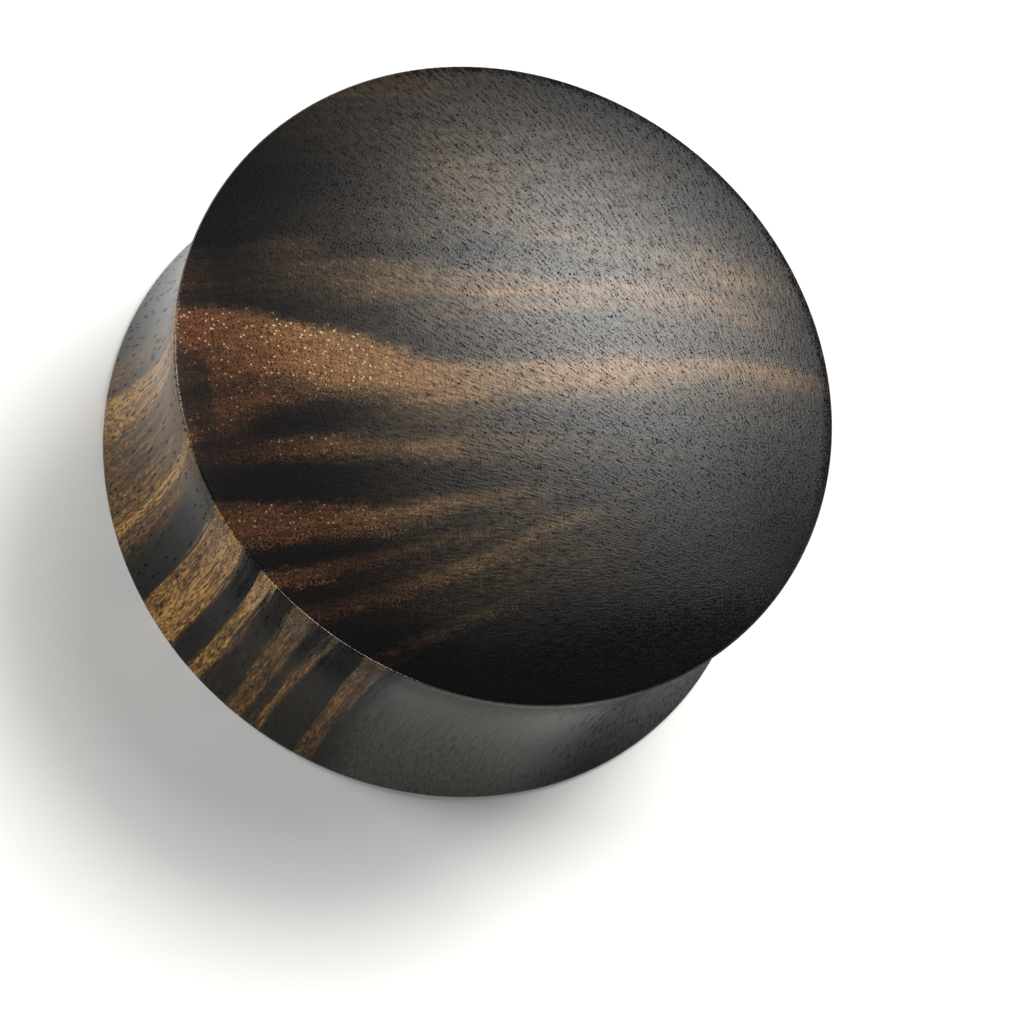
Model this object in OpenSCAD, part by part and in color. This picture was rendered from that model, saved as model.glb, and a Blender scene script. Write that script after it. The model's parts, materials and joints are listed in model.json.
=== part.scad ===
// Solid wooden ear plug with a saddle fit, turned from one piece: a domed front face, a hollowed
// waist between two flared rims, and a flat back.
// It lies on its back: the origin is the middle of the back face and +Z is the plug's own axis,
// towards the domed front. +X and +Y are any two directions across the plug, which is round.

/* [Waist] */
// Diameter at the narrowest place of the waist, which is the plug's gauge
waist_d = 25.4; // [16:0.1:40]

/* [Flares] */
// How far the front flare's rounded edge stands out from the waist, all round
front_flare_out = 0.75; // [0.3:0.05:3]
// How far the back flare's rounded edge stands out from the waist, all round
back_flare_out = 0.75; // [0.3:0.05:3]
// Height of the front flare's widest place above the back face
front_flare_z = 10.5; // [6:0.1:20]

/* [Front face] */
// Rise of the dome, from the front flare's widest place to the middle of the front face
dome_rise = 2.95; // [1:0.05:6]

/* [Edges] */
// Radius of the front flare's rounded edge
front_edge_r = 0.2; // [0.05:0.05:0.6]
// Radius of the back flare's rounded edge
back_edge_r = 0.25; // [0.05:0.05:0.6]

/* [Hidden] */

$fn = 180;
wood_colour = [0.17, 0.12, 0.09];

waist_r = waist_d / 2;
height = front_flare_z + dome_rise;

// Centres of the rounded edges, as [distance from the axis, height], like every place below
front_edge_c = [waist_r + front_flare_out - front_edge_r, front_flare_z];
back_edge_c = [waist_r + back_flare_out - back_edge_r, back_edge_r];

// A rounded edge runs this far past the arcs that it blends into, so that the outlines cross
edge_overlap = 0.0005;
front_reach = front_edge_r - edge_overlap;
back_reach = back_edge_r - edge_overlap;

// The dome is the cap of a ball that meets the front flare's rounded edge
dome_r = (pow(front_edge_c[0], 2) + pow(dome_rise, 2) - pow(front_reach, 2))
         / (2 * (dome_rise - front_reach));
dome_c = [0, height - dome_r];

// The waist's outline is one arc that meets both rounded edges and is nowhere narrower than the
// gauge. The height of the arc's middle above the back edge's centre solves
// arc_a * rise ^ 2 - 2 * run * rise + arc_b = 0
front_out = front_flare_out - edge_overlap;
back_out = back_flare_out - edge_overlap;
run = front_edge_c[1] - back_edge_c[1];
arc_a = 1 - front_out / back_out;
arc_b = pow(run, 2) + front_out * (front_out - back_out - 2 * (front_reach - back_reach));
rise = arc_b / (run + sqrt(pow(run, 2) - arc_a * arc_b));
waist_arc_r = back_out / 2 - back_reach + pow(rise, 2) / (2 * back_out);
waist_c = [waist_r + waist_arc_r, back_edge_c[1] + rise];

// The point of the circle of centre c and radius r that lies towards p
function towards(c, r, p) = c + r * (p - c) / norm(p - c);

// Where the rounded edges run into the dome, the waist and the back
dome_end = towards(dome_c, dome_r, front_edge_c);
waist_top = towards(waist_c, waist_arc_r, front_edge_c);
waist_foot = towards(waist_c, waist_arc_r, back_edge_c);
back_end = [back_edge_c[0], 0];

// Half of the plug's section: straight lines between the places above, then each arc put on
// or taken off
module half_section() {
    difference() {
        union() {
            polygon([[0, 0], back_end, waist_foot, waist_top, dome_end, [0, dome_end[1]]]);
            translate(back_edge_c) circle(r = back_edge_r);
            translate(front_edge_c) circle(r = front_edge_r);
            intersection() {
                translate(dome_c) circle(r = dome_r);
                translate([0, dome_end[1]]) square([dome_end[0], height]);
            }
        }
        translate(waist_c) circle(r = waist_arc_r);
    }
}

module plug() {
    color(wood_colour) rotate_extrude() half_section();
}

plug();
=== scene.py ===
import json
import math
from types import SimpleNamespace
import bpy
import numpy as np
from mathutils import Matrix, Vector


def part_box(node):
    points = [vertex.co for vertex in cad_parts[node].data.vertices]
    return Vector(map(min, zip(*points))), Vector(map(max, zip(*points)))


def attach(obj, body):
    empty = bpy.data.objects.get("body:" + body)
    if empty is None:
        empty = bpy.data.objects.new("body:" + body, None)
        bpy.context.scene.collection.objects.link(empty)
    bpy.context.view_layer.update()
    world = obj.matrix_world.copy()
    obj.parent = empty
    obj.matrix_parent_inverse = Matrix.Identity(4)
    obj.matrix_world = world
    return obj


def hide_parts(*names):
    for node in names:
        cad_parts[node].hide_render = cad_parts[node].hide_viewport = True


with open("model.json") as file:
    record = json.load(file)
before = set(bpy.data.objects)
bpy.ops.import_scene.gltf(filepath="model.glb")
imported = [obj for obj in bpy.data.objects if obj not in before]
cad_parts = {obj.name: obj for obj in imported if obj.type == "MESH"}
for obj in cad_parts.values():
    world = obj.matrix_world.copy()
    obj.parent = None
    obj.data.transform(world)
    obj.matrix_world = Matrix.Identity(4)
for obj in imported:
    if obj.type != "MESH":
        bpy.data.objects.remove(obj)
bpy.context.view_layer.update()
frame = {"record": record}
mm = 0.001                     # lengths below are in millimetres unless they say otherwise


def addObject(name, data):
    made = bpy.data.objects.new(name, data)
    bpy.context.scene.collection.objects.link(made)
    return made


# Shader arithmetic: a Signal is a node's output, and each operator on it adds a Math node. mathNode
# makes the method of one operator, reflected for when the other value stands first
def mathNode(operation, reflected=False):
    def combine(self, other):
        pair = [other, self] if reflected else [self, other]
        return self.sheet.node("ShaderNodeMath", {"operation": operation}, pair)
    return combine


class Signal:
    def __init__(self, sheet, socket):
        self.sheet, self.socket = sheet, socket

    __add__, __radd__ = mathNode("ADD"), mathNode("ADD", True)
    __sub__, __rsub__ = mathNode("SUBTRACT"), mathNode("SUBTRACT", True)
    __mul__, __rmul__ = mathNode("MULTIPLY"), mathNode("MULTIPLY", True)
    __truediv__, __rtruediv__ = mathNode("DIVIDE"), mathNode("DIVIDE", True)
    __pow__, __rpow__ = mathNode("POWER"), mathNode("POWER", True)

    def __abs__(self):
        return self.sheet.node("ShaderNodeMath", {"operation": "ABSOLUTE"}, [self])

    # 0 below low, 1 above high and a smooth rise between them; low may be the greater
    def step(self, low, high):
        return self.sheet.node("ShaderNodeMapRange", {"interpolation_type": "SMOOTHSTEP"},
                               {"Value": self, "From Min": low, "From Max": high})

    def clamped(self):
        return self.sheet.node("ShaderNodeClamp", {}, [self])


# One material's node sheet. node() makes any node: its settings are set first, then its sockets
class Sheet:
    def __init__(self, name):
        self.material = bpy.data.materials.new(name)
        self.material.use_nodes = True
        self.tree = self.material.node_tree
        self.tree.nodes.clear()

    def node(self, kind, settings, sockets, output=0):
        made = self.tree.nodes.new(kind)
        for key, value in settings.items():
            if key == "curves":
                self.setCurves(made.mapping, value)
            elif key == "stops":
                self.setStops(made.color_ramp, value)
            else:
                setattr(made, key, value)
        pairs = sockets.items() if isinstance(sockets, dict) else enumerate(sockets)
        for key, value in pairs:
            socket = made.inputs[key]
            if isinstance(value, Signal):
                self.tree.links.new(value.socket, socket)
            else:
                socket.default_value = (*value, 1) if socket.type == "RGBA" else value
        return Signal(self, made.outputs[output] if made.outputs else None)

    def setCurves(self, mapping, curves):
        for curve, points in zip(mapping.curves, curves):
            while len(curve.points) < len(points):
                curve.points.new(0.5, 0.5)
            for point, place in zip(curve.points, points):
                point.location = place
                point.handle_type = "AUTO_CLAMPED"
        mapping.update()

    def setStops(self, ramp, stops):
        while len(ramp.elements) < len(stops):
            ramp.elements.new(0.5)
        for element, (place, colour) in zip(ramp.elements, stops):
            element.position, element.color = place, (*colour, 1)

    def vector(self, x, y, z=0.0):
        return self.node("ShaderNodeCombineXYZ", {}, [x, y, z])

    def parts(self, vector):
        split = self.node("ShaderNodeSeparateXYZ", {}, [vector])
        return [Signal(self, output) for output in split.socket.node.outputs]

    # A Mix node's colours are its sockets 6 and 7, and the mixed colour is its output 2
    def mix(self, share, first, second, blend="MIX"):
        return self.node("ShaderNodeMix", {"data_type": "RGBA", "blend_type": blend},
                         {"Factor": share, 6: first, 7: second}, 2)

    # Noise over a place of two or three signals. Its look says how many waves go to one unit of each
    # signal, how many finer layers lie on them and how strong each layer is
    def noise(self, place, look):
        stretched = [part * waves for part, waves in zip(place, look["waves"])]
        return self.node("ShaderNodeTexNoise", {"noise_dimensions": str(len(stretched)) + "D"}, {
            "Vector": self.vector(*stretched), "Scale": 1.0, "Detail": look["layers"],
            "Roughness": look["strength"]})


# The plug's outline. The node's box gives the flares' radius and the height, and the mount that goes
# through the ear gives the waist's radius
lowCorner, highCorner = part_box("plug")
earSaddle = [mount for mount in frame["record"]["mounts"] if mount["name"] == "ear_saddle"][0]
plugShape = {
    "flareRadius": (highCorner.x - lowCorner.x) / 2 / mm,
    "height": highCorner.z / mm,
    "waistRadius": earSaddle["dims"]["r_mm"],
    "domeRise": 2.95,          # from the front flare's widest place to the middle of the face
    "frontEdge": 0.2,          # radius of the rounded edge of the front flare
    "backEdge": 0.25,          # radius of the rounded edge round the back
    "turns": 512,              # steps round the axis
    "domeSteps": 70,           # points along the dome, and so on
    "edgeSteps": 12,
    "waistSteps": 44,
    "backSteps": 8,
}


# Points of an arc round a centre, from one angle to another, without its first point
def arcPoints(centre, radius, start, end, count):
    angle = np.linspace(start, end, count)
    return np.stack([centre[0] + radius * np.cos(angle), centre[1] + radius * np.sin(angle)], axis=1)[1:]


# The angle at which one place is seen from another
def bearing(start, end):
    return math.atan2(end[1] - start[1], end[0] - start[0])


# Half of the plug's section, as distances from the axis and heights, from the dome's middle round to
# the back's. The dome is an arc with its centre on the axis that meets the front edge's arc. The waist
# is one arc that meets both edges' arcs and comes in to the waist's radius
def plugOutline(shape):
    flare, rise = shape["flareRadius"], shape["domeRise"]
    frontEdge, backEdge = shape["frontEdge"], shape["backEdge"]
    frontCentre = np.array([flare - frontEdge, shape["height"] - rise])
    backCentre = np.array([flare - backEdge, backEdge])
    domeRadius = (frontCentre[0] ** 2 + rise ** 2 - frontEdge ** 2) / (2 * (rise - frontEdge))
    domeCentre = np.array([0.0, shape["height"] - domeRadius])
    out = flare - shape["waistRadius"]
    run = frontCentre[1] - backCentre[1]
    lift = (run ** 2 + 2 * out * (backEdge - frontEdge)) / (2 * run)
    waistArc = out / 2 - backEdge + lift ** 2 / (2 * out)
    waistCentre = np.array([shape["waistRadius"] + waistArc, backCentre[1] + lift])
    domeEnd = bearing(domeCentre, frontCentre)
    waistTop = bearing(waistCentre, frontCentre) % (2 * math.pi)
    waistFoot = bearing(waistCentre, backCentre) % (2 * math.pi)
    acrossBack = np.linspace(backCentre[0], 0, shape["backSteps"])[1:-1]
    return np.concatenate([
        arcPoints(domeCentre, domeRadius, math.pi / 2, domeEnd, shape["domeSteps"]),
        arcPoints(frontCentre, frontEdge, domeEnd, waistTop - math.pi, shape["edgeSteps"]),
        arcPoints(waistCentre, waistArc, waistTop, waistFoot, shape["waistSteps"]),
        arcPoints(backCentre, backEdge, waistFoot - math.pi, -math.pi / 2, shape["edgeSteps"]),
        np.stack([acrossBack, 0 * acrossBack], axis=1),
    ])


# A turned surface: each point of the outline is carried round the axis in equal steps, and a fan of
# triangles round a pole closes each end
def turnedMesh(name, outline, poles, turns):
    angle = np.arange(turns) * 2 * math.pi / turns
    radius, height = outline[:, 0, None], outline[:, 1, None]
    rings = np.stack([radius * np.cos(angle), radius * np.sin(angle), height + 0 * angle], axis=2)
    points = np.concatenate([rings.reshape(-1, 3), [[0, 0, poles[0]], [0, 0, poles[1]]]]) * mm
    topPole, backPole = len(points) - 2, len(points) - 1
    ring, step = np.meshgrid(np.arange(len(outline) - 1), np.arange(turns), indexing="ij")
    here, beside = ring * turns + step, ring * turns + (step + 1) % turns
    quads = np.stack([here, here + turns, beside + turns, beside], axis=2).reshape(-1, 4)
    around = np.arange(turns)
    after = (around + 1) % turns
    lastRing = (len(outline) - 1) * turns
    topFan = np.stack([np.full(turns, topPole), around, after], axis=1)
    backFan = np.stack([np.full(turns, backPole), lastRing + after, lastRing + around], axis=1)
    mesh = bpy.data.meshes.new(name)
    mesh.from_pydata(points, [], topFan.tolist() + quads.tolist() + backFan.tolist())
    mesh.polygons.foreach_set("use_smooth", np.ones(len(mesh.polygons), bool))
    mesh.update()
    return addObject(name, mesh)


# The figure of the wood: brown bands in black, which run straight through the plug along its axis, and two
# broad faint bands of painted sheen.
# Each band's top and foot are drawn against x, across the face, in millimetres, soft is the width over
# which each of the two fades, and depth is how brown the band is, drawn against x too
figure = {
    "reach": 14.0,             # half of the square that the bands are drawn in
    "haze": (0.25, 0.32),      # where the streaks turn the wood between the bands brown, and how brown
    "streakShade": (0.55, 0.9),  # how brown a band's weakest streaks are, and how much more its strongest
    "waver": {"slow": 0.7, "fine": 0.6, "grain": 0.9},  # how far each noise moves the bands' edges
    "blur": 1.8,               # how much wider than drawn the edges fade on the flank
    "faceBlur": (0.2, 1.3),    # what is added to that on the face's left, and more on its right
    "faceRight": (-9.0, 0.0),  # where on x the right starts and is in full
    "speckle": 0.6,            # how much the grain speckles the face
    "speckleFall": 0.02,       # how much less for each millimetre to the right
    "speckleMiddle": 0.48,     # the strength of the grain that leaves the wood as it is
    "bands": [
        {"name": "main", "soft": (0.35, 0.7),
         "top": [(-13.4, 3.3), (-12, 3.0), (-10.2, 2.5), (-9, 1.85), (-7, 1.2), (-5, 0.3), (-3, -0.2),
                 (-1, -0.2), (1, -0.1), (4, 0.25), (6, 0.4), (9, 0.45), (11, 0.35), (13.4, 0.15)],
         "foot": [(-13.4, 1.2), (-11.5, 0.7), (-10, -0.2), (-8, -1.05), (-5, -1.65), (-3, -1.9), (0, -1.75),
                  (3, -1.55), (6, -1.15), (8, -0.85), (11, -0.55), (13.4, -0.3)],
         "depth": [(-13.4, 0.7), (-12.5, 0.76), (-11, 0.72), (-9, 0.94), (-7, 1.0), (-4, 0.96), (0, 0.8),
                   (4, 0.8), (8, 0.68), (11, 0.82), (13.4, 0.66)]},
        {"name": "underMain", "soft": (0.5, 0.9),
         "top": [(-13.4, 1.2), (-11, 0.8), (-9.5, -0.3), (-8, -1.0)],
         "foot": [(-13.4, -3.1), (-12.6, -2.4), (-11, -2.2), (-9.5, -1.8), (-8, -1.5)],
         "depth": [(-13.4, 0.4), (-13.0, 0.36), (-12.5, 0.3), (-12, 0.5), (-10, 0.46),
                   (-8.7, 0.3), (-7.5, 0.0)]},
        {"name": "third", "soft": (0.35, 0.35),
         "top": [(-13.4, -2.7), (-9, -2.9), (-6, -3.2), (-3, -3.2), (2, -3.1), (6, -2.9)],
         "foot": [(-13.4, -3.9), (-9, -3.9), (-6, -4.05), (-3, -4.1), (2, -4.0), (6, -3.8)],
         "depth": [(-13.4, 0.2), (-12.9, 0.22), (-12.4, 0.24), (-11.5, 0.34), (-10, 0.5), (-8, 0.56),
                   (-6, 0.3), (-4, 0.52), (-2, 0.28), (0, 0.42), (3, 0.12), (5, 0.0)]},
        {"name": "fourth", "soft": (0.25, 0.35),
         "top": [(-12.6, -5.05), (-10, -5.4), (-8, -5.5), (-6, -5.8), (-4, -5.6), (0, -5.2), (2, -5.0)],
         "foot": [(-12.6, -7.1), (-10, -6.9), (-7, -6.95), (-5, -6.75), (-3, -6.2), (0, -5.6), (2, -5.3)],
         "depth": [(-12.6, 0.66), (-10, 0.57), (-8, 0.58), (-5.5, 0.46), (-3, 0.34), (0, 0.2), (2, 0.0)]},
        {"name": "fifth", "soft": (0.15, 0.15),
         "top": [(-11.4, -7.85), (-9, -7.8), (-7, -7.6), (-4, -7.05), (0, -6.3)],
         "foot": [(-11.4, -8.4), (-9, -8.4), (-7, -8.1), (-4, -7.45), (0, -6.6)],
         "depth": [(-11.4, 0.58), (-9, 0.46), (-7.5, 0.28), (-4, 0.17), (-1, 0.12), (0.5, 0.0)]},
        {"name": "sixth", "soft": (0.15, 0.2),
         "top": [(-10.2, -9.35), (-8, -9.1), (-6, -8.8), (-4, -8.3), (-2, -7.65), (0, -6.75), (2, -6.0),
                 (4.6, -5.15)],
         "foot": [(-10.2, -10.3), (-8.9, -10.0), (-8, -9.75), (-6, -9.35), (-4, -8.85), (-2, -8.15),
                  (0, -7.2), (2, -6.4), (4.6, -5.45)],
         "depth": [(-10.2, 0.3), (-8, 0.3), (-5, 0.3), (-2, 0.36), (0, 0.36), (2, 0.34), (4, 0.26),
                   (5, 0.0)]},
        {"name": "seventh", "soft": (0.14, 0.16),
         "top": [(-7.6, -11.75), (-6.5, -11.2), (-5, -10.7), (-3, -10.0), (-1, -9.4), (2, -8.5)],
         "foot": [(-7.6, -12.6), (-6.5, -12.1), (-5, -11.35), (-3, -10.4), (-1, -9.7), (2, -8.8)],
         "depth": [(-7.6, 0.85), (-6, 0.8), (-5, 0.5), (-3.5, 0.36), (-2, 0.3), (0, 0.22), (2, 0.0)]},
        {"name": "sliver", "soft": (0.15, 0.15),
         "top": [(-9, -10.3), (-7, -10.75)],
         "foot": [(-9, -10.55), (-7, -11.0)],
         "depth": [(-9, 0.4), (-8.1, 0.35), (-7.5, 0.0)]},
        # painted sheen: a broad faint brown that brightens the face's lower middle, as the lamps' sheen
        # would
        {"name": "lowPaintedSheen", "soft": (1.2, 1.6),
         "top": [(-8, -2.4), (-5, -1.8), (-2, -2.6), (3, -6.5), (8, -7.0)],
         "foot": [(-8, -8.6), (-4, -10.0), (2, -10.3), (8, -9.0)],
         "depth": [(-8, 0.0), (-6, 0.1), (-3, 0.18), (0, 0.22), (3, 0.18), (6, 0.05), (8, 0.0)]},
        # painted sheen: a faint brown that brightens the top of the face, as the lamps' sheen would
        {"name": "topPaintedSheen", "soft": (1.0, 2.5),
         "top": [(-13, 14), (13, 14)],
         "foot": [(-8, 9.6), (0, 9.9), (6, 11.0)],
         "depth": [(-9, 0.04), (-5, 0.2), (-2, 0.24), (0, 0.19), (4, 0.05), (6, 0.0)]},
        {"name": "middle", "soft": (3.5, 3.0),
         "top": [(-9, 7.0), (0, 7.4), (6, 6.2), (13, 4.5)],
         "foot": [(-9, -2.0), (0, -2.3), (6, -2.0), (13, -1.6)],
         "depth": [(-10, 0.0), (-6, 0.26), (-3, 0.27), (1, 0.32), (6, 0.3), (10, 0.18), (12, 0.0)]},
        {"name": "leftHaze", "soft": (1.2, 0.9),
         "top": [(-13.4, 6.6), (-9, 6.0), (-7, 5.6)],
         "foot": [(-13.4, 3.2), (-9, 3.3), (-7, 4.0)],
         "depth": [(-13.4, 0.42), (-12, 0.32), (-11, 0.18), (-9, 0.17), (-7, 0.0)]},
        {"name": "upper", "soft": (0.8, 0.8),
         "top": [(-9, 4.9), (-6, 4.5), (-3, 4.1), (0, 3.6), (3, 3.4), (8, 3.1), (12, 2.9)],
         "foot": [(-9, 3.7), (-6, 2.8), (-3, 2.4), (0, 2.1), (3, 1.9), (8, 1.8), (12, 1.8)],
         "depth": [(-9.5, 0.0), (-7, 0.14), (-5, 0.4), (-3, 0.45), (-1, 0.66), (2, 0.64), (5, 0.8),
                   (8.5, 0.78), (11, 0.2), (12.5, 0.0)]},
        {"name": "high", "soft": (0.8, 0.7),
         "top": [(-6, 6.3), (-1, 6.2), (2, 5.5), (5, 5.0), (9, 4.7), (13, 4.3)],
         "foot": [(-6, 5.2), (-1, 5.0), (2, 4.4), (5, 4.0), (9, 3.7), (13, 3.6)],
         "depth": [(-6, 0.0), (-2, 0.28), (2, 0.52), (6, 0.46), (9, 0.8), (11, 0.7), (13, 0.3)]},
        {"name": "highest", "soft": (1.5, 0.9),
         "top": [(-5, 8.9), (0, 9.3), (4, 9.3), (7, 9.4)],
         "foot": [(-5, 7.2), (0, 7.0), (4, 7.6), (7, 8.2)],
         "depth": [(-5, 0.0), (-3, 0.16), (-1.5, 0.34), (2, 0.26), (4, 0.26), (7, 0.16), (10, 0.0)]},
    ],
    # blue-black strokes, which take the haze away
    "strokes": [
        {"name": "overMain", "soft": (0.5, 0.4),
         "top": [(-13.4, 3.9), (-10, 3.3), (-8, 2.9), (-6, 2.3), (-4, 1.3), (-2, 1.0), (0, 1.4), (3, 2.0),
                 (8, 1.9)],
         "foot": [(-13.4, 3.1), (-10, 2.4), (-8, 1.7), (-6, 0.9), (-4, 0.1), (-2, -0.1), (0, 0.0), (3, 0.3),
                  (8, 0.6)],
         "depth": [(-13.4, 0.0), (-10, 0.12), (-8, 0.36), (-5, 0.4), (0, 0.55), (4, 0.7),
                   (8, 0.6), (10, 0.0)]},
        {"name": "underThird", "soft": (0.5, 0.4),
         "top": [(-12.8, -3.8), (-8, -3.9), (-4, -4.2), (0, -4.2), (4, -4.1)],
         "foot": [(-12.8, -5.0), (-8, -5.3), (-4, -5.5), (0, -5.1), (4, -4.9)],
         "depth": [(-12.8, 1.0), (-9, 0.9), (-6, 0.25), (-3, 0.15), (0, 0.25), (4, 0.0)]},
        {"name": "underFourth", "soft": (0.3, 0.3),
         "top": [(-12, -7.0), (-7, -7.0), (-3, -6.5), (0, -6.0)],
         "foot": [(-12, -7.7), (-7, -7.55), (-3, -6.9), (0, -6.4)],
         "depth": [(-12, 0.9), (-8, 0.6), (-4, 0.2), (0, 0.0)]},
        {"name": "tealPatch", "soft": (0.6, 0.6),
         "top": [(-11.5, -1.8), (-8, -1.7), (-4, -2.1), (2, -2.0), (8, -1.5)],
         "foot": [(-11.5, -2.7), (-8, -2.8), (-4, -3.0), (2, -3.3), (8, -3.1)],
         "depth": [(-11.5, 0.0), (-9.5, 0.8), (-7.5, 0.25), (-6, 0.0), (-2, 0.05), (1, 0.6),
                   (5, 0.65), (8, 0.3), (11, 0.0)]},
        {"name": "highStreak", "soft": (0.4, 0.4),
         "top": [(-8, 5.6), (-4, 4.95), (0, 5.1), (3, 4.5), (6, 4.2)],
         "foot": [(-8, 4.9), (-4, 4.3), (0, 3.8), (3, 3.5), (6, 3.5)],
         "depth": [(-8, 0.0), (-5, 0.8), (0, 1.0), (3, 0.7), (6, 0.5), (8, 0.0)]},
        {"name": "bottom", "soft": (1.5, 1.0),
         "top": [(-13, -11.4), (-4, -11.0), (4, -9.0), (13, -7.7)],
         "foot": [(-13, -14), (-4, -14), (4, -14), (13, -14)],
         "depth": [(-13, 0.9), (13, 0.9)]},
    ],
}


# A length as a share of the square that the bands are drawn in, and such a share as a length
def figureShare(length):
    return length * (0.5 / figure["reach"]) + 0.5


def figureLength(share):
    return share * (2 * figure["reach"]) - figure["reach"]


# How brown a band is at (x, y): its depth between its foot and its top, and 0 outside. The top, the
# foot and the depth are the three curves of one node, which reads x as a share of the square
def bandShare(sheet, band, xShares, y, blur):
    edges = [[(figureShare(px), figureShare(py)) for px, py in band[edge]] for edge in ("top", "foot")]
    depths = [(figureShare(px), brown) for px, brown in band["depth"]]
    drawn = sheet.node("ShaderNodeRGBCurve", {"curves": [*edges, depths]}, [1.0, xShares])
    top, foot, depth = sheet.parts(drawn)
    topSoft, footSoft = band["soft"]
    aboveFoot = ((y - figureLength(foot)) / blur).step(-footSoft / 2, footSoft / 2)
    belowTop = ((figureLength(top) - y) / blur).step(-topSoft / 2, topSoft / 2)
    return aboveFoot * belowTop * depth


# The share of the wood at (x, y) that no band of the list covers
def bareShare(sheet, bands, xShares, y, blur):
    return math.prod(1 - bandShare(sheet, band, xShares, y, blur) for band in bands)


# How each noise looks: its waves for each millimetre along x, y and z, or along x and y alone where it
# is the same all the way through, its finer layers and how strong each of them is
noises = {
    "slow": {"waves": (0.35, 0.6, 0.07), "layers": 2.0, "strength": 0.5},
    "fine": {"waves": (2.2, 6.0, 0.15), "layers": 2.0, "strength": 0.6},
    "streaks": {"waves": (0.22, 2.4, 0.05), "layers": 3.0, "strength": 0.6},
    "grain": {"waves": (12.5, 12.5), "layers": 1.0, "strength": 0.5},
    "rays": {"waves": (9.0, 1.5), "layers": 1.0, "strength": 0.5},
    "fibres": {"waves": (14.0, 14.0, 2.0), "layers": 1.0, "strength": 0.5},
    "threads": {"waves": (4.0, 4.0, 0.25), "layers": 2.0, "strength": 0.6},
    "marks": {"waves": (165.0, 2.0), "layers": 2.0, "strength": 0.6},  # a radian, then a millimetre
}

# How level the surface is where one look ends and the next begins, from 0 upright to 1 level
levels = {
    "polish": (0.3, 0.5),      # from the flank's polish to the front edge's
    "face": (0.55, 0.85),      # from the flank's wood to the face's
    "flat": (0.78, 0.9),       # from the front edge's polish to the face's
}

# Parts of the plug: the direction from the axis in which a part lies, and how many millimetres that
# way it starts to show and shows in full
regions = {
    "left": {"towards": (-1.0, 0.0), "reach": (1.5, 7.0)},
    "rust": {"towards": (-1.0, -0.45), "reach": (6.3, 12.0)},
    "paintedShadeUnderRim": {"towards": (-0.69, -0.724), "reach": (12.6, 13.25)},
    "paintedShadeFarRim": {"towards": (0.77, 0.64), "reach": (3.0, 8.0)},
    "paintedShadeRightEnd": {"towards": (0.8, -0.6), "reach": (8.8, 11.8)},
}


def regionShare(x, y, name):
    towards = regions[name]["towards"]
    return (x * towards[0] + y * towards[1]).step(*regions[name]["reach"])


# What all of the wood's functions share: the place in millimetres, how far out it lies from the axis,
# and how much it belongs to a face, to a face without its edge and to the flank. xDrawn and yDrawn say
# where the figure is looked up. On the flank that is the place moved out to the rim, so that stripes
# keep their place round the axis where the waist draws in, and the noises make it waver
def plugPlace(sheet, shape):
    x, y, z = [part * (1 / mm) for part in sheet.parts(sheet.node("ShaderNodeTexCoord", {}, [], "Object"))]
    facing = sheet.parts(sheet.node("ShaderNodeTexCoord", {}, [], "Normal"))
    level = abs(facing[2])
    face, flat = level.step(*levels["face"]), level.step(*levels["flat"])
    side = 1 - face
    out = (x * x + y * y + 0.01) ** 0.5  # never quite 0, as it divides below
    stretch = face + side * shape["flareRadius"] / out
    drawn = (x * stretch, y * stretch, z)
    slow, fine, streaks = [sheet.noise(drawn, noises[name]) for name in ("slow", "fine", "streaks")]
    grain = sheet.noise((x, y), noises["grain"])
    waver = figure["waver"]
    yDrawn = (drawn[1] + (slow - 0.5) * waver["slow"] + (fine - 0.5) * waver["fine"]
              + (grain - 0.5) * face * waver["grain"])
    return SimpleNamespace(x=x, y=y, z=z, out=out, level=level, face=face, flat=flat, side=side,
                           xDrawn=drawn[0], yDrawn=yDrawn, streaks=streaks, grain=grain,
                           left=regionShare(x, y, "left"))


# How brown the wood is: the share that bands cover, shaded by the streaks, plus the haze between them,
# all of it less under the strokes, and speckled by the grain on the face
def brownShare(sheet, at):
    faceBlur = at.x.step(*figure["faceRight"]) * figure["faceBlur"][1] + figure["faceBlur"][0]
    blur = at.face * faceBlur + figure["blur"]
    xShare = figureShare(at.xDrawn)
    xShares = sheet.vector(xShare, xShare, xShare)
    covered = 1 - bareShare(sheet, figure["bands"], xShares, at.yDrawn, blur)
    unstruck = bareShare(sheet, figure["strokes"], xShares, at.yDrawn, blur)
    streakShade = at.streaks * figure["streakShade"][1] + figure["streakShade"][0]
    haze = (at.streaks - figure["haze"][0]) * figure["haze"][1]
    speckleDepth = at.face * (figure["speckle"] - at.x * figure["speckleFall"])
    return (covered * streakShade + haze) * unstruck + (at.grain - figure["speckleMiddle"]) * speckleDepth


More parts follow.
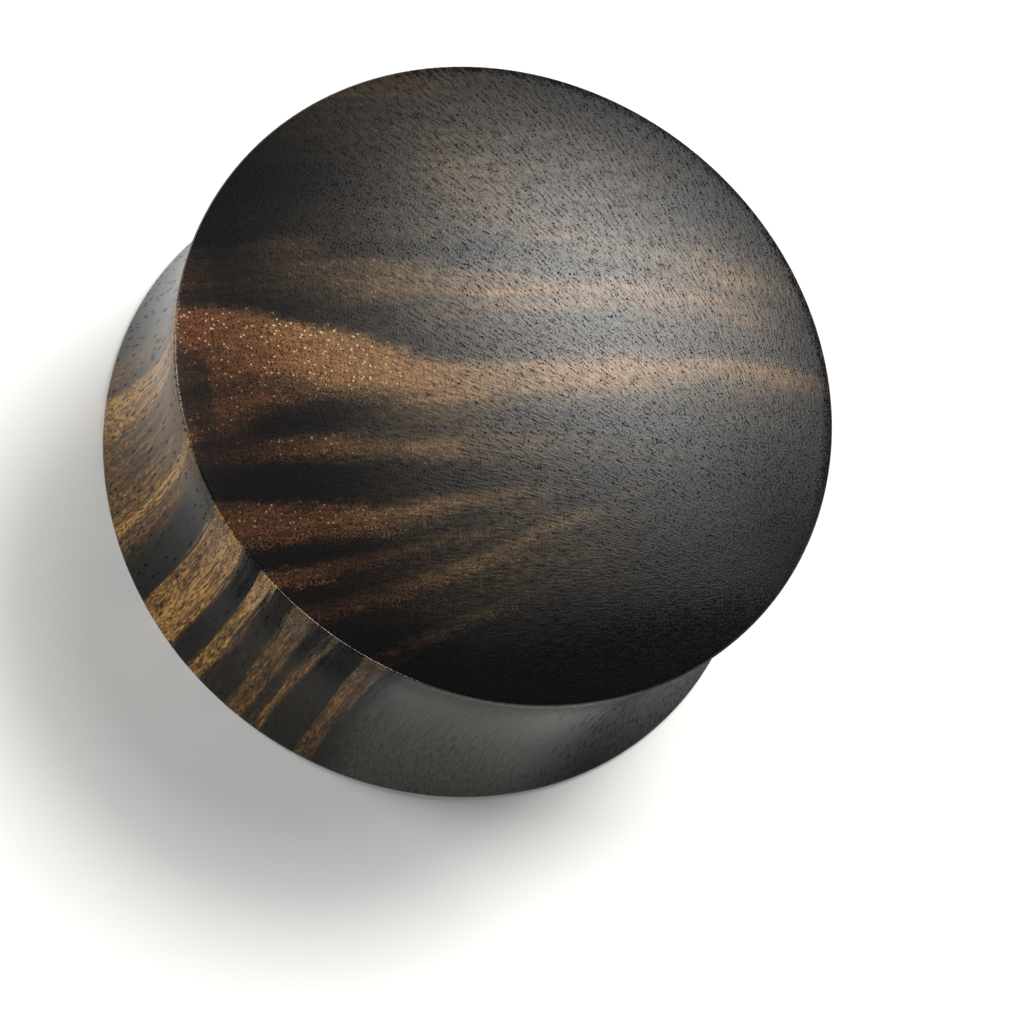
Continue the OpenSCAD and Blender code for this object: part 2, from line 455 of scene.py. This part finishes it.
# The wood's colours, from its blackest to its brownest
colours = {
    "face": [(0.0, (0.0012, 0.0017, 0.0028)), (0.16, (0.0080, 0.0066, 0.0052)),
             (0.36, (0.032, 0.022, 0.0135)), (0.62, (0.088, 0.055, 0.026)), (1.0, (0.235, 0.125, 0.052))],
    "flank": [(0.0, (0.003, 0.003, 0.003)), (0.14, (0.010, 0.007, 0.004)),
              (0.34, (0.042, 0.022, 0.007)), (0.60, (0.108, 0.053, 0.014)), (1.0, (0.26, 0.14, 0.042))],
    "rust": (0.70, 0.45, 0.39),  # the face's colours are multiplied by this at its left
    "paintedGreySheen": (0.028, 0.033, 0.027),  # painted sheen: a grey added to the colours low on the front right of the flank, in place of a reflection
    "paintedGreySheenLeft": (-6.4, -4.4),  # the places on x where the painted sheen starts and is in full
    "paintedGreySheenRight": (6.0, 0.0),
    "paintedGreySheenFront": (-1.0, -9.0),  # and those on y
    "paintedGreySheenThreads": (0.6, 0.8),  # how strong the painted sheen is on the weakest threads, and how much more on the strongest
    "flankBrown": 0.04,        # how much browner the whole flank is
    "paintedShadeUnderRimBrown": 0.5,      # how much stronger its brown is close under the front rim, under the painted shade there
    "fibreShade": 2.4,         # how much the fibres shade the flank
    "threadShade": 1.8,
    "grainShade": (1.9, 2.4),  # how much the grain shades the wood, and how much more the face's left
    "grainLeft": (0.0, -9.0),  # the places on x where that more starts and is in full
}


# The wood's colour: how brown it is, looked up among the face's or the flank's colours. On the flank
# fibres and threads shade it first, and a grey painted sheen is added. The face is rusty at its left. The
# grain and the rays then make it lighter and darker
def woodColour(sheet, at, brown, paintedShadeUnderRim):
    fibres, threads = [sheet.noise((at.x, at.y, at.z), noises[name]) for name in ("fibres", "threads")]
    shade = (fibres - 0.5) * colours["fibreShade"] + (threads - 0.5) * colours["threadShade"] + 1.0
    flankBrown = (brown * (paintedShadeUnderRim * colours["paintedShadeUnderRimBrown"] + 1.0) + colours["flankBrown"]) * shade
    flank = sheet.node("ShaderNodeValToRGB", {"stops": colours["flank"]}, [flankBrown])
    # Painted sheen: grey added low on the front right of the flank, standing in for a reflection
    paintedGreySheenThreads = threads * colours["paintedGreySheenThreads"][1] + colours["paintedGreySheenThreads"][0]
    paintedGreySheen = (at.x.step(*colours["paintedGreySheenLeft"]) * at.x.step(*colours["paintedGreySheenRight"])
            * at.y.step(*colours["paintedGreySheenFront"]) * paintedGreySheenThreads)
    flank = sheet.mix(paintedGreySheen, flank, colours["paintedGreySheen"], "ADD")
    face = sheet.node("ShaderNodeValToRGB", {"stops": colours["face"]}, [brown])
    face = sheet.mix(regionShare(at.x, at.y, "rust") * at.face, face, colours["rust"], "MULTIPLY")
    rays = sheet.noise((at.x, at.y), noises["rays"])
    grainShade = (at.x.step(*colours["grainLeft"]) * at.face * colours["grainShade"][1]
                  + colours["grainShade"][0])
    tone = (at.grain - 0.5) * grainShade + (rays - 0.5) * at.face + 1.0
    return sheet.mix(1.0, sheet.mix(at.face, flank, face), sheet.vector(tone, tone, tone), "MULTIPLY")


# Pores run along the axis, so they are dots on the face and dashes on the flank
pores = {
    "number": 5.7,             # pores for each millimetre across
    "along": 0.12,             # their spacing across the grain as a share of that along it
    "size": (0.11, 0.26),      # share of their spacing where a pore is deep, and where it ends
    "flankSize": 0.02,         # how much of that share they are wider on the flank
    "ragged": 0.2,             # how much the grain moves their edges
    "lean": -62,               # degrees that they lean on the face
    "narrow": 0.72,            # their spacing across that lean as a share of that along it
    "front": (-4.5, -8.5),     # the places on y where they start to get fainter and are faintest
    "frontLess": 0.6,          # how much fainter they are there
    "middleLess": 1.2,         # and between the plain ones and the ones at the left that get a painted glint
    "depth": 0.9,              # how dark they are
    "paintedGlintColour": (0.48, 0.34, 0.20),  # painted glint: the pale colour added to the pores at the left as a highlight
    "paintedGlintBrown": (1.6, 0.45),  # how much brown wood strengthens the painted glint, and what is taken off that
}


# The nearest of many random places gives a pore: 1 close to it and 0 further off, less where the grain
# is closed
def poreShare(sheet, at):
    lean = math.radians(pores["lean"])
    along = at.x * math.cos(lean) + at.y * math.sin(lean)
    aside = at.y * math.cos(lean) - at.x * math.sin(lean)
    narrowed = along * (at.face * (pores["narrow"] - 1) + 1.0)
    near = sheet.node("ShaderNodeTexVoronoi", {}, {
        "Vector": sheet.vector(narrowed, aside, at.z * pores["along"]), "Scale": pores["number"]})
    edge = near - at.side * pores["flankSize"] + (at.grain - 0.5) * pores["ragged"]
    openGrain = (1 - at.y.step(*pores["front"]) * pores["frontLess"]
                 - at.left * (1 - at.left) * pores["middleLess"])
    return (1 - edge.step(*pores["size"])) * openGrain


# Sanding marks run towards one place beside the plug, and show most on the right of the face
marks = {
    "towards": (13.0, -9.0),
    "depth": (0.4, 0.6),       # how deep they are at the left, and how much deeper at the right
    "right": (-11.0, 0.0),     # where on x the right starts and is in full
}


# Noise over the angle round the place that the marks run towards and the way to it
def sandingMarks(sheet, at):
    dx, dy = marks["towards"][0] - at.x, at.y - marks["towards"][1]
    angle = sheet.node("ShaderNodeMath", {"operation": "ARCTAN2"}, [dy, dx])
    return sheet.noise((angle, (dx * dx + dy * dy) ** 0.5), noises["marks"])


# Where the polish is dull and dark: some of it real breaks in the polish, and some of it painted shade
dullnessAndPaintedShade = {
    "face": 0.18,              # the whole face, without its edge
    "faceLeft": -0.05,         # more or less at its left
    "grain": (0.25, 1.8),      # how much the grain breaks the polish up, and how much more on the face
    "grainLeft": 0.9,          # more of that at the face's left
    "grainFarLeft": 1.2,       # and yet more at its far left
    "farLeft": (3.0, 6.0),     # where on y the far left starts and is in full
    "marks": 2.0,              # how much the sanding marks break it up
    "paintedShadeLowRim": 0.65,            # painted shade along the face's lower rim, where the sheen falls off
    "paintedShadeLowRimLine": (-2.5, 0.2, 0.98),  # a line that bends at this place on x, its slope and its weight on y
    "paintedShadeLowRimReach": (10.1, 12.4),
    "paintedShadeThinRim": 0.6,            # painted shade: a thin dark line along the face's far and left rim, over the edge's highlight
    "paintedShadeThinRimOut": (12.8, 13.3),  # how far out it starts and is in full at the far rim
    "paintedShadeLeftEdge": (11.0, 12.5),  # and at the left
    "paintedShadeUnderRim": (0.95, 1.5),   # painted shade close under the front rim, which dims the flank's reflection there, and less of it where the wood is brown
    "paintedShadeUnderRimHeight": (3.5, 7.5),
    "paintedShadeRightEnd": 0.8,           # painted shade on the right end of the flank, which dims its reflection
}


# The sum of all those places, the dull polish and the painted shade, each with a smooth edge
def dullShare(sheet, at, brown, paintedShadeUnderRim, scratches, scratched):
    farLeft = at.y.step(*dullnessAndPaintedShade["farLeft"]) * dullnessAndPaintedShade["grainFarLeft"] + dullnessAndPaintedShade["grainLeft"]
    coarse = (at.left * farLeft + dullnessAndPaintedShade["grain"][1]) * at.face + dullnessAndPaintedShade["grain"][0]
    # Painted shade along the face's lower rim
    bend, slope, weight = dullnessAndPaintedShade["paintedShadeLowRimLine"]
    paintedShadeLowRim = (abs(at.x - bend) * slope - at.y * weight).step(*dullnessAndPaintedShade["paintedShadeLowRimReach"])
    # Painted shade: a thin dark line along the face's far rim and over its left edge's highlight
    paintedShadeThinRim = (at.out.step(*dullnessAndPaintedShade["paintedShadeThinRimOut"]) * regionShare(at.x, at.y, "paintedShadeFarRim")
               + (1 - at.flat) * (at.x * -1).step(*dullnessAndPaintedShade["paintedShadeLeftEdge"]))
    onFace = at.flat * (paintedShadeLowRim * dullnessAndPaintedShade["paintedShadeLowRim"] + at.left * dullnessAndPaintedShade["faceLeft"] + dullnessAndPaintedShade["face"])
    blackWood = (dullnessAndPaintedShade["paintedShadeUnderRim"][0] - brown * dullnessAndPaintedShade["paintedShadeUnderRim"][1]).clamped()
    # Painted shade on the flank's right end
    paintedShadeRightEnd = at.side * regionShare(at.xDrawn, at.yDrawn, "paintedShadeRightEnd")
    broken = (at.grain - 0.5) * coarse + (scratches - 0.5) * scratched * dullnessAndPaintedShade["marks"]
    return (broken + onFace + at.face * paintedShadeThinRim * dullnessAndPaintedShade["paintedShadeThinRim"] + paintedShadeUnderRim * blackWood
            + paintedShadeRightEnd * dullnessAndPaintedShade["paintedShadeRightEnd"])


# The polish, and the dull dark that shows in pores, dull places and painted shade
polish = {
    "faceRoughness": 0.35,
    "edgeRoughness": 0.14,
    "flankRoughness": 0.22,
    "faceIndex": 1.5,
    "flankIndex": 1.32,
    "bumpHeight": 0.007,       # how far the marks and the grain raise the surface
    "dark": (0.0026, 0.0028, 0.0033),
    "darkRoughness": 0.9,
    "darkShine": 0.05,
}


# The face's and the flank's polish over one colour, mixed by how level the surface is, and then mixed
# with the dull dark of the pores, the dull places and the painted shade. The sanding marks and the grain
# raise the surface
def woodMaterial(name, shape):
    sheet = Sheet(name)
    at = plugPlace(sheet, shape)
    brown = brownShare(sheet, at)
    # Painted shade close under the front rim of the flank, where it dims the reflection
    paintedShadeUnderRim = (at.side * at.z.step(*dullnessAndPaintedShade["paintedShadeUnderRimHeight"])
                * regionShare(at.xDrawn, at.yDrawn, "paintedShadeUnderRim"))
    pore = poreShare(sheet, at)
    # Painted glint: a pale colour added to the pores at the face's left where the wood is brown, as a
    # highlight
    paintedGlintShare = (brown * pores["paintedGlintBrown"][0] - pores["paintedGlintBrown"][1]).clamped()
    wood = sheet.mix(pore * at.left * at.face * paintedGlintShare, woodColour(sheet, at, brown, paintedShadeUnderRim),
                     pores["paintedGlintColour"], "ADD")
    hole = pore * (1 - at.left * at.face) * pores["depth"]
    scratches = sandingMarks(sheet, at)
    scratched = at.face * (at.x.step(*marks["right"]) * marks["depth"][1] + marks["depth"][0])
    dullAndPaintedShade = dullShare(sheet, at, brown, paintedShadeUnderRim, scratches, scratched)
    bump = sheet.node("ShaderNodeBump", {}, {"Strength": 1.0, "Distance": polish["bumpHeight"] * mm,
                                             "Height": scratches * scratched + at.grain})
    edge = polish["edgeRoughness"]
    faceRoughness = at.flat * (polish["faceRoughness"] - edge) + edge
    face = sheet.node("ShaderNodeBsdfPrincipled", {}, {
        "Base Color": wood, "Normal": bump, "Roughness": faceRoughness, "IOR": polish["faceIndex"]})
    flank = sheet.node("ShaderNodeBsdfPrincipled", {}, {
        "Base Color": wood, "Normal": bump, "Roughness": polish["flankRoughness"],
        "IOR": polish["flankIndex"]})
    polished = sheet.node("ShaderNodeMixShader", {}, [at.level.step(*levels["polish"]), flank, face])
    dark = sheet.node("ShaderNodeBsdfPrincipled", {}, {
        "Base Color": polish["dark"], "Roughness": polish["darkRoughness"],
        "Specular IOR Level": polish["darkShine"]})
    both = sheet.node("ShaderNodeMixShader", {}, [(hole + dullAndPaintedShade).clamped(), polished, dark])
    sheet.node("ShaderNodeOutputMaterial", {}, {"Surface": both})
    return sheet.material


outline = plugOutline(plugShape)
plug = turnedMesh("wooden_plug", outline, [plugShape["height"], 0.0], plugShape["turns"])
plug.data.materials.append(woodMaterial("striped dark wood", plugShape))
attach(plug, "root")
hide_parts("plug")
print("plug turned,", len(plug.data.polygons), "faces")


# The camera stands where the photograph was taken from, seen in the plug's frame
cameraPlace = {
    "frameWidth": 1024,        # pixels
    "scale": 345.5,            # pixels for one flare radius at the front rim's distance
    "distance": 26.0,          # flare radii from the camera to the middle of the front rim
    "rimOffset": (-6.2, 128.9),  # pixels from the picture's middle to the rim's, right and up
    "tilt": 28.11,             # degrees between the plug's axis and the line of sight
    "lean": 50.18,             # degrees from the picture's right up to where the axis points
    "sensor": 36,              # millimetres
    "sees": (0.01, 20),        # metres from the nearest to the furthest thing that shows
}


def placeCamera(shape, place):
    tilt, lean = math.radians(place["tilt"]), math.radians(place["lean"])
    # in the camera's own axes: right, up and back towards the viewer
    axis = Vector((math.sin(tilt) * math.cos(lean), math.sin(tilt) * math.sin(lean), math.cos(tilt)))
    right = Vector((0, 1, 0)).cross(axis).normalized()
    turned = Matrix((right, axis.cross(right), axis))
    radius = shape["flareRadius"] * mm
    rim = Vector((place["rimOffset"][0] / place["scale"], place["rimOffset"][1] / place["scale"],
                  -place["distance"])) * radius
    rimMiddle = Vector((0, 0, (shape["height"] - shape["domeRise"]) * mm))
    camera = addObject("camera", bpy.data.cameras.new("camera"))
    camera.matrix_world = Matrix.Translation(rimMiddle - turned @ rim) @ turned.to_4x4()
    camera.data.sensor_width = place["sensor"]
    camera.data.lens = place["sensor"] * place["scale"] * place["distance"] / place["frameWidth"]
    camera.data.clip_start, camera.data.clip_end = place["sees"]
    bpy.context.scene.camera = camera


placeCamera(plugShape, cameraPlace)
print("camera placed")

# The set: a plain floor, soft lamps, each aimed at the plug, and a faint light from all round
studio = {
    "floorHalf": 3.0,          # metres from the plug to the floor's sides
    "floorColour": (0.9, 0.9, 0.9),
    "floorRoughness": 0.6,
    "allRound": 0.015,         # how strong the light from all round is
}

# Each lamp: degrees above the floor and round from +X, metres to the plug, its width and height in
# metres, its watts and its colour
lamps = [
    {"name": "key", "above": 47, "bearing": 43, "away": 0.6, "size": (0.30, 0.30), "watts": 2.7,
     "colour": (1.0, 0.975, 0.945)},
    {"name": "keyWide", "above": 47, "bearing": 42, "away": 0.64, "size": (0.66, 0.66), "watts": 3.4,
     "colour": (1.0, 0.975, 0.945)},
    {"name": "leftFill", "above": 24, "bearing": 155, "away": 0.6, "size": (0.3, 0.3), "watts": 2.3,
     "colour": (0.98, 1.0, 0.98)},
    {"name": "frontFill", "above": 20, "bearing": 232, "away": 0.7, "size": (0.55, 0.09), "watts": 2.6,
     "colour": (0.98, 1.0, 0.98)},
]


# A level square round the axis, at height 0
def flatSquare(name, half):
    corners = np.array([[-half, -half, 0], [half, -half, 0], [half, half, 0], [-half, half, 0]])
    mesh = bpy.data.meshes.new(name)
    mesh.from_pydata(corners, [], [(0, 1, 2, 3)])
    return addObject(name, mesh)


def floorMaterial(name, colour, roughness):
    sheet = Sheet(name)
    shader = sheet.node("ShaderNodeBsdfPrincipled", {}, {"Base Color": colour, "Roughness": roughness})
    sheet.node("ShaderNodeOutputMaterial", {}, {"Surface": shader})
    return sheet.material


def placeLamp(look):
    lamp = bpy.data.lights.new(look["name"], "AREA")
    lamp.shape, lamp.energy, lamp.color = "ELLIPSE", look["watts"], look["colour"]
    lamp.size, lamp.size_y = look["size"]
    above, turn = math.radians(look["above"]), math.radians(look["bearing"])
    place = Vector((math.cos(above) * math.cos(turn), math.cos(above) * math.sin(turn),
                    math.sin(above))) * look["away"]
    aimed = place.to_track_quat("Z", "Y").to_matrix().to_4x4()
    addObject(look["name"], lamp).matrix_world = Matrix.Translation(place) @ aimed


floor = flatSquare("floor", studio["floorHalf"])
floor.data.materials.append(floorMaterial("pale floor", studio["floorColour"], studio["floorRoughness"]))
for look in lamps:
    placeLamp(look)
world = bpy.data.worlds.new("studio")
bpy.context.scene.world = world
world.use_nodes = True
background = world.node_tree.nodes["Background"]
background.inputs["Color"].default_value = (1, 1, 1, 1)
background.inputs["Strength"].default_value = studio["allRound"]
bpy.context.scene.view_settings.view_transform = "Standard"
print("floor and lamps placed")
